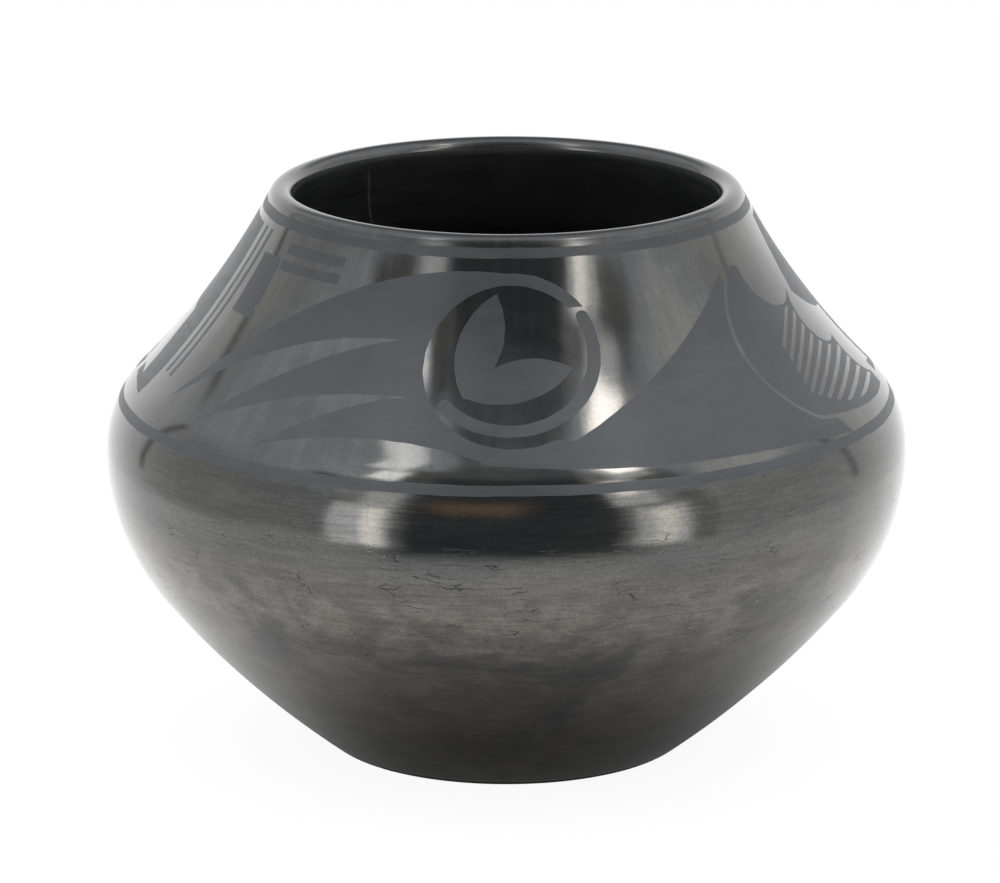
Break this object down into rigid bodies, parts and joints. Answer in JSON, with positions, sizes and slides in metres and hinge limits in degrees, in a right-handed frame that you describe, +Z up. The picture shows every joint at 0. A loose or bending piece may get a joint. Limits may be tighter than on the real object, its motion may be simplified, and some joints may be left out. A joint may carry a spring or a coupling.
{
  "type": "coil-built pottery jar",
  "caption": "Wide-bellied, hand-coiled burnished black jar with a sloping shoulder, open mouth, flat foot and a matte painted feather frieze.",
  "frame": {"origin": "centre of the flat foot, on the ground", "axes": "+Z up the jar's axis through the mouth, -Y towards the front of the painted frieze"},
  "size_m": [0.203, 0.203, 0.1445],
  "materials": {
    "clay": "smoke-blackened fired clay, scraped",
    "polished_slip": "stone-burnished black slip",
    "matte_paint": "matte slip paint"
  },
  "bodies": {
    "root": {"base": "clay", "lower_wall_coil_1": "clay", "lower_wall_coil_2": "clay", "lower_wall_coil_3": "clay", "lower_wall_coil_4": "clay", "belly_coil_1": "clay", "belly_coil_2": "clay", "belly_coil_3": "clay", "shoulder_coil_1": "clay", "shoulder_coil_2": "clay", "shoulder_coil_3": "clay", "neck_coil_1": "clay", "rim_coil": "clay", "slip_coat": "polished_slip", "rim_line_paint": "matte_paint", "shoulder_line_paint": "matte_paint", "feather_field_paint": "matte_paint", "disc_ring_paint": "matte_paint", "leaf_pair_paint": "matte_paint", "feather_fan_paint": "matte_paint", "brush_bars_paint": "matte_paint"}
  },
  "joints": []
}
